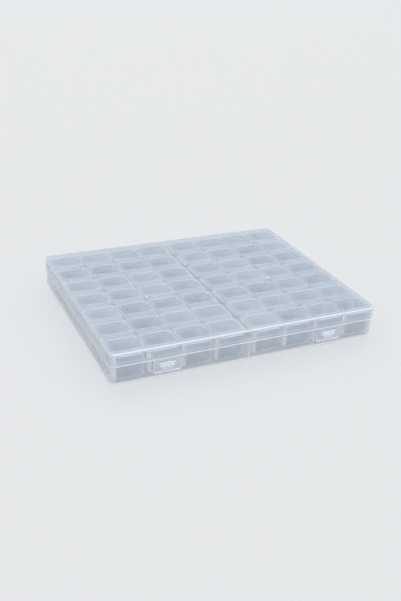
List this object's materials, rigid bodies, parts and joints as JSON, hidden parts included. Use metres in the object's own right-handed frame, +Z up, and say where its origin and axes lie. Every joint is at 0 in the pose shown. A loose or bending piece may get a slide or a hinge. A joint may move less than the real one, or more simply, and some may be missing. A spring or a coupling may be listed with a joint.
{
  "type": "bead storage box",
  "caption": "Flat hinged case of frosted plastic with two front latches, holding strips of small lidded cells for diamond painting drills.",
  "frame": {"origin": "on the resting surface, at the middle of the closed box's footprint", "axes": "+X to the right along the front, +Y to the hinges at the back, +Z up"},
  "size_m": [0.21, 0.1738, 0.025],
  "materials": {
    "cover_plastic": "frosted, translucent",
    "base_plastic": "frosted, translucent",
    "latch_plastic": "frosted, translucent",
    "tray_plastic": "frosted, translucent",
    "lid_plastic": "frosted, translucent"
  },
  "bodies": {
    "base": {"base_tray": "base_plastic", "strip_1_left": "tray_plastic", "strip_1_right": "tray_plastic", "strip_2_left": "tray_plastic", "strip_2_right": "tray_plastic", "strip_3_left": "tray_plastic", "strip_3_right": "tray_plastic", "strip_4_left": "tray_plastic", "strip_4_right": "tray_plastic", "strip_5_left": "tray_plastic", "strip_5_right": "tray_plastic", "strip_6_left": "tray_plastic", "strip_6_right": "tray_plastic", "strip_7_left": "tray_plastic", "strip_7_right": "tray_plastic"},
    "cover": {"cover": "cover_plastic"},
    "latch_left": {"latch_left": "latch_plastic"},
    "latch_right": {"latch_right": "latch_plastic"},
    "lid_1_1": {"lid_1_1": "lid_plastic"},
    "lid_1_2": {"lid_1_2": "lid_plastic"},
    "lid_1_3": {"lid_1_3": "lid_plastic"},
    "lid_1_4": {"lid_1_4": "lid_plastic"},
    "lid_1_5": {"lid_1_5": "lid_plastic"},
    "lid_1_6": {"lid_1_6": "lid_plastic"},
    "lid_1_7": {"lid_1_7": "lid_plastic"},
    "lid_1_8": {"lid_1_8": "lid_plastic"},
    "lid_2_1": {"lid_2_1": "lid_plastic"},
    "lid_2_2": {"lid_2_2": "lid_plastic"},
    "lid_2_3": {"lid_2_3": "lid_plastic"},
    "lid_2_4": {"lid_2_4": "lid_plastic"},
    "lid_2_5": {"lid_2_5": "lid_plastic"},
    "lid_2_6": {"lid_2_6": "lid_plastic"},
    "lid_2_7": {"lid_2_7": "lid_plastic"},
    "lid_2_8": {"lid_2_8": "lid_plastic"},
    "lid_3_1": {"lid_3_1": "lid_plastic"},
    "lid_3_2": {"lid_3_2": "lid_plastic"},
    "lid_3_3": {"lid_3_3": "lid_plastic"},
    "lid_3_4": {"lid_3_4": "lid_plastic"},
    "lid_3_5": {"lid_3_5": "lid_plastic"},
    "lid_3_6": {"lid_3_6": "lid_plastic"},
    "lid_3_7": {"lid_3_7": "lid_plastic"},
    "lid_3_8": {"lid_3_8": "lid_plastic"},
    "lid_4_1": {"lid_4_1": "lid_plastic"},
    "lid_4_2": {"lid_4_2": "lid_plastic"},
    "lid_4_3": {"lid_4_3": "lid_plastic"},
    "lid_4_4": {"lid_4_4": "lid_plastic"},
    "lid_4_5": {"lid_4_5": "lid_plastic"},
    "lid_4_6": {"lid_4_6": "lid_plastic"},
    "lid_4_7": {"lid_4_7": "lid_plastic"},
    "lid_4_8": {"lid_4_8": "lid_plastic"},
    "lid_5_1": {"lid_5_1": "lid_plastic"},
    "lid_5_2": {"lid_5_2": "lid_plastic"},
    "lid_5_3": {"lid_5_3": "lid_plastic"},
    "lid_5_4": {"lid_5_4": "lid_plastic"},
    "lid_5_5": {"lid_5_5": "lid_plastic"},
    "lid_5_6": {"lid_5_6": "lid_plastic"},
    "lid_5_7": {"lid_5_7": "lid_plastic"},
    "lid_5_8": {"lid_5_8": "lid_plastic"}
  },
  "joints": [
    {"name": "cover_hinge", "type": "hinge", "parent": "base", "child": "cover", "pos_m": [0, 0.08568, 0.015], "axis": [-1, 0, 0], "range_deg": [0, 180]},
    {"name": "latch_left_hinge", "type": "hinge", "parent": "cover", "child": "latch_left", "pos_m": [-0.064, -0.08597, 0.01485], "axis": [-1, 0, 0], "range_deg": [0, 80]},
    {"name": "latch_right_hinge", "type": "hinge", "parent": "cover", "child": "latch_right", "pos_m": [0.064, -0.08597, 0.01485], "axis": [-1, 0, 0], "range_deg": [0, 80]},
    {"name": "lid_1_1_hinge", "type": "hinge", "parent": "base", "child": "lid_1_1", "pos_m": [-0.09005, -0.06126, 0.0224], "axis": [-1, 0, 0], "range_deg": [0, 105]},
    {"name": "lid_1_2_hinge", "type": "hinge", "parent": "base", "child": "lid_1_2", "pos_m": [-0.06495, -0.06126, 0.0224], "axis": [-1, 0, 0], "range_deg": [0, 105]},
    {"name": "lid_1_3_hinge", "type": "hinge", "parent": "base", "child": "lid_1_3", "pos_m": [-0.03985, -0.06126, 0.0224], "axis": [-1, 0, 0], "range_deg": [0, 105]},
    {"name": "lid_1_4_hinge", "type": "hinge", "parent": "base", "child": "lid_1_4", "pos_m": [-0.01475, -0.06126, 0.0224], "axis": [-1, 0, 0], "range_deg": [0, 105]},
    {"name": "lid_1_5_hinge", "type": "hinge", "parent": "base", "child": "lid_1_5", "pos_m": [0.01475, -0.06126, 0.0224], "axis": [-1, 0, 0], "range_deg": [0, 105]},
    {"name": "lid_1_6_hinge", "type": "hinge", "parent": "base", "child": "lid_1_6", "pos_m": [0.03985, -0.06126, 0.0224], "axis": [-1, 0, 0], "range_deg": [0, 105]},
    {"name": "lid_1_7_hinge", "type": "hinge", "parent": "base", "child": "lid_1_7", "pos_m": [0.06495, -0.06126, 0.0224], "axis": [-1, 0, 0], "range_deg": [0, 105]},
    {"name": "lid_1_8_hinge", "type": "hinge", "parent": "base", "child": "lid_1_8", "pos_m": [0.09005, -0.06126, 0.0224], "axis": [-1, 0, 0], "range_deg": [0, 105]},
    {"name": "lid_2_1_hinge", "type": "hinge", "parent": "base", "child": "lid_2_1", "pos_m": [-0.09005, -0.03765, 0.0224], "axis": [-1, 0, 0], "range_deg": [0, 105]},
    {"name": "lid_2_2_hinge", "type": "hinge", "parent": "base", "child": "lid_2_2", "pos_m": [-0.06495, -0.03765, 0.0224], "axis": [-1, 0, 0], "range_deg": [0, 105]},
    {"name": "lid_2_3_hinge", "type": "hinge", "parent": "base", "child": "lid_2_3", "pos_m": [-0.03985, -0.03765, 0.0224], "axis": [-1, 0, 0], "range_deg": [0, 105]},
    {"name": "lid_2_4_hinge", "type": "hinge", "parent": "base", "child": "lid_2_4", "pos_m": [-0.01475, -0.03765, 0.0224], "axis": [-1, 0, 0], "range_deg": [0, 105]},
    {"name": "lid_2_5_hinge", "type": "hinge", "parent": "base", "child": "lid_2_5", "pos_m": [0.01475, -0.03765, 0.0224], "axis": [-1, 0, 0], "range_deg": [0, 105]},
    {"name": "lid_2_6_hinge", "type": "hinge", "parent": "base", "child": "lid_2_6", "pos_m": [0.03985, -0.03765, 0.0224], "axis": [-1, 0, 0], "range_deg": [0, 105]},
    {"name": "lid_2_7_hinge", "type": "hinge", "parent": "base", "child": "lid_2_7", "pos_m": [0.06495, -0.03765, 0.0224], "axis": [-1, 0, 0], "range_deg": [0, 105]},
    {"name": "lid_2_8_hinge", "type": "hinge", "parent": "base", "child": "lid_2_8", "pos_m": [0.09005, -0.03765, 0.0224], "axis": [-1, 0, 0], "range_deg": [0, 105]},
    {"name": "lid_3_1_hinge", "type": "hinge", "parent": "base", "child": "lid_3_1", "pos_m": [-0.09005, -0.01403, 0.0224], "axis": [-1, 0, 0], "range_deg": [0, 105]},
    {"name": "lid_3_2_hinge", "type": "hinge", "parent": "base", "child": "lid_3_2", "pos_m": [-0.06495, -0.01403, 0.0224], "axis": [-1, 0, 0], "range_deg": [0, 105]},
    {"name": "lid_3_3_hinge", "type": "hinge", "parent": "base", "child": "lid_3_3", "pos_m": [-0.03985, -0.01403, 0.0224], "axis": [-1, 0, 0], "range_deg": [0, 105]},
    {"name": "lid_3_4_hinge", "type": "hinge", "parent": "base", "child": "lid_3_4", "pos_m": [-0.01475, -0.01403, 0.0224], "axis": [-1, 0, 0], "range_deg": [0, 105]},
    {"name": "lid_3_5_hinge", "type": "hinge", "parent": "base", "child": "lid_3_5", "pos_m": [0.01475, -0.01403, 0.0224], "axis": [-1, 0, 0], "range_deg": [0, 105]},
    {"name": "lid_3_6_hinge", "type": "hinge", "parent": "base", "child": "lid_3_6", "pos_m": [0.03985, -0.01403, 0.0224], "axis": [-1, 0, 0], "range_deg": [0, 105]},
    {"name": "lid_3_7_hinge", "type": "hinge", "parent": "base", "child": "lid_3_7", "pos_m": [0.06495, -0.01403, 0.0224], "axis": [-1, 0, 0], "range_deg": [0, 105]},
    {"name": "lid_3_8_hinge", "type": "hinge", "parent": "base", "child": "lid_3_8", "pos_m": [0.09005, -0.01403, 0.0224], "axis": [-1, 0, 0], "range_deg": [0, 105]},
    {"name": "lid_4_1_hinge", "type": "hinge", "parent": "base", "child": "lid_4_1", "pos_m": [-0.09005, 0.00958, 0.0224], "axis": [-1, 0, 0], "range_deg": [0, 105]},
    {"name": "lid_4_2_hinge", "type": "hinge", "parent": "base", "child": "lid_4_2", "pos_m": [-0.06495, 0.00958, 0.0224], "axis": [-1, 0, 0], "range_deg": [0, 105]},
    {"name": "lid_4_3_hinge", "type": "hinge", "parent": "base", "child": "lid_4_3", "pos_m": [-0.03985, 0.00958, 0.0224], "axis": [-1, 0, 0], "range_deg": [0, 105]},
    {"name": "lid_4_4_hinge", "type": "hinge", "parent": "base", "child": "lid_4_4", "pos_m": [-0.01475, 0.00958, 0.0224], "axis": [-1, 0, 0], "range_deg": [0, 105]},
    {"name": "lid_4_5_hinge", "type": "hinge", "parent": "base", "child": "lid_4_5", "pos_m": [0.01475, 0.00958, 0.0224], "axis": [-1, 0, 0], "range_deg": [0, 105]},
    {"name": "lid_4_6_hinge", "type": "hinge", "parent": "base", "child": "lid_4_6", "pos_m": [0.03985, 0.00958, 0.0224], "axis": [-1, 0, 0], "range_deg": [0, 105]},
    {"name": "lid_4_7_hinge", "type": "hinge", "parent": "base", "child": "lid_4_7", "pos_m": [0.06495, 0.00958, 0.0224], "axis": [-1, 0, 0], "range_deg": [0, 105]},
    {"name": "lid_4_8_hinge", "type": "hinge", "parent": "base", "child": "lid_4_8", "pos_m": [0.09005, 0.00958, 0.0224], "axis": [-1, 0, 0], "range_deg": [0, 105]},
    {"name": "lid_5_1_hinge", "type": "hinge", "parent": "base", "child": "lid_5_1", "pos_m": [-0.09005, 0.0332, 0.0224], "axis": [-1, 0, 0], "range_deg": [0, 105]},
    {"name": "lid_5_2_hinge", "type": "hinge", "parent": "base", "child": "lid_5_2", "pos_m": [-0.06495, 0.0332, 0.0224], "axis": [-1, 0, 0], "range_deg": [0, 105]},
    {"name": "lid_5_3_hinge", "type": "hinge", "parent": "base", "child": "lid_5_3", "pos_m": [-0.03985, 0.0332, 0.0224], "axis": [-1, 0, 0], "range_deg": [0, 105]},
    {"name": "lid_5_4_hinge", "type": "hinge", "parent": "base", "child": "lid_5_4", "pos_m": [-0.01475, 0.0332, 0.0224], "axis": [-1, 0, 0], "range_deg": [0, 105]},
    {"name": "lid_5_5_hinge", "type": "hinge", "parent": "base", "child": "lid_5_5", "pos_m": [0.01475, 0.0332, 0.0224], "axis": [-1, 0, 0], "range_deg": [0, 105]},
    {"name": "lid_5_6_hinge", "type": "hinge", "parent": "base", "child": "lid_5_6", "pos_m": [0.03985, 0.0332, 0.0224], "axis": [-1, 0, 0], "range_deg": [0, 105]},
    {"name": "lid_5_7_hinge", "type": "hinge", "parent": "base", "child": "lid_5_7", "pos_m": [0.06495, 0.0332, 0.0224], "axis": [-1, 0, 0], "range_deg": [0, 105]},
    {"name": "lid_5_8_hinge", "type": "hinge", "parent": "base", "child": "lid_5_8", "pos_m": [0.09005, 0.0332, 0.0224], "axis": [-1, 0, 0], "range_deg": [0, 105]}
  ],
  "couplings": [
    {"joint": "lid_1_1_hinge", "follows": "cover_hinge", "ratio": 0.58333},
    {"joint": "lid_1_2_hinge", "follows": "cover_hinge", "ratio": 0.58333},
    {"joint": "lid_1_3_hinge", "follows": "cover_hinge", "ratio": 0.58333},
    {"joint": "lid_1_4_hinge", "follows": "cover_hinge", "ratio": 0.58333},
    {"joint": "lid_1_5_hinge", "follows": "cover_hinge", "ratio": 0.58333},
    {"joint": "lid_1_6_hinge", "follows": "cover_hinge", "ratio": 0.58333},
    {"joint": "lid_1_7_hinge", "follows": "cover_hinge", "ratio": 0.58333},
    {"joint": "lid_1_8_hinge", "follows": "cover_hinge", "ratio": 0.58333},
    {"joint": "lid_2_1_hinge", "follows": "cover_hinge", "ratio": 0.58333},
    {"joint": "lid_2_2_hinge", "follows": "cover_hinge", "ratio": 0.58333},
    {"joint": "lid_2_3_hinge", "follows": "cover_hinge", "ratio": 0.58333},
    {"joint": "lid_2_4_hinge", "follows": "cover_hinge", "ratio": 0.58333},
    {"joint": "lid_2_5_hinge", "follows": "cover_hinge", "ratio": 0.58333},
    {"joint": "lid_2_6_hinge", "follows": "cover_hinge", "ratio": 0.58333},
    {"joint": "lid_2_7_hinge", "follows": "cover_hinge", "ratio": 0.58333},
    {"joint": "lid_2_8_hinge", "follows": "cover_hinge", "ratio": 0.58333},
    {"joint": "lid_3_1_hinge", "follows": "cover_hinge", "ratio": 0.58333},
    {"joint": "lid_3_2_hinge", "follows": "cover_hinge", "ratio": 0.58333},
    {"joint": "lid_3_3_hinge", "follows": "cover_hinge", "ratio": 0.58333},
    {"joint": "lid_3_4_hinge", "follows": "cover_hinge", "ratio": 0.58333},
    {"joint": "lid_3_5_hinge", "follows": "cover_hinge", "ratio": 0.58333},
    {"joint": "lid_3_6_hinge", "follows": "cover_hinge", "ratio": 0.58333},
    {"joint": "lid_3_7_hinge", "follows": "cover_hinge", "ratio": 0.58333},
    {"joint": "lid_3_8_hinge", "follows": "cover_hinge", "ratio": 0.58333},
    {"joint": "lid_4_1_hinge", "follows": "cover_hinge", "ratio": 0.58333},
    {"joint": "lid_4_2_hinge", "follows": "cover_hinge", "ratio": 0.58333},
    {"joint": "lid_4_3_hinge", "follows": "cover_hinge", "ratio": 0.58333},
    {"joint": "lid_4_4_hinge", "follows": "cover_hinge", "ratio": 0.58333},
    {"joint": "lid_4_5_hinge", "follows": "cover_hinge", "ratio": 0.58333},
    {"joint": "lid_4_6_hinge", "follows": "cover_hinge", "ratio": 0.58333},
    {"joint": "lid_4_7_hinge", "follows": "cover_hinge", "ratio": 0.58333},
    {"joint": "lid_4_8_hinge", "follows": "cover_hinge", "ratio": 0.58333},
    {"joint": "lid_5_1_hinge", "follows": "cover_hinge", "ratio": 0.58333},
    {"joint": "lid_5_2_hinge", "follows": "cover_hinge", "ratio": 0.58333},
    {"joint": "lid_5_3_hinge", "follows": "cover_hinge", "ratio": 0.58333},
    {"joint": "lid_5_4_hinge", "follows": "cover_hinge", "ratio": 0.58333},
    {"joint": "lid_5_5_hinge", "follows": "cover_hinge", "ratio": 0.58333},
    {"joint": "lid_5_6_hinge", "follows": "cover_hinge", "ratio": 0.58333},
    {"joint": "lid_5_7_hinge", "follows": "cover_hinge", "ratio": 0.58333},
    {"joint": "lid_5_8_hinge", "follows": "cover_hinge", "ratio": 0.58333}
  ]
}
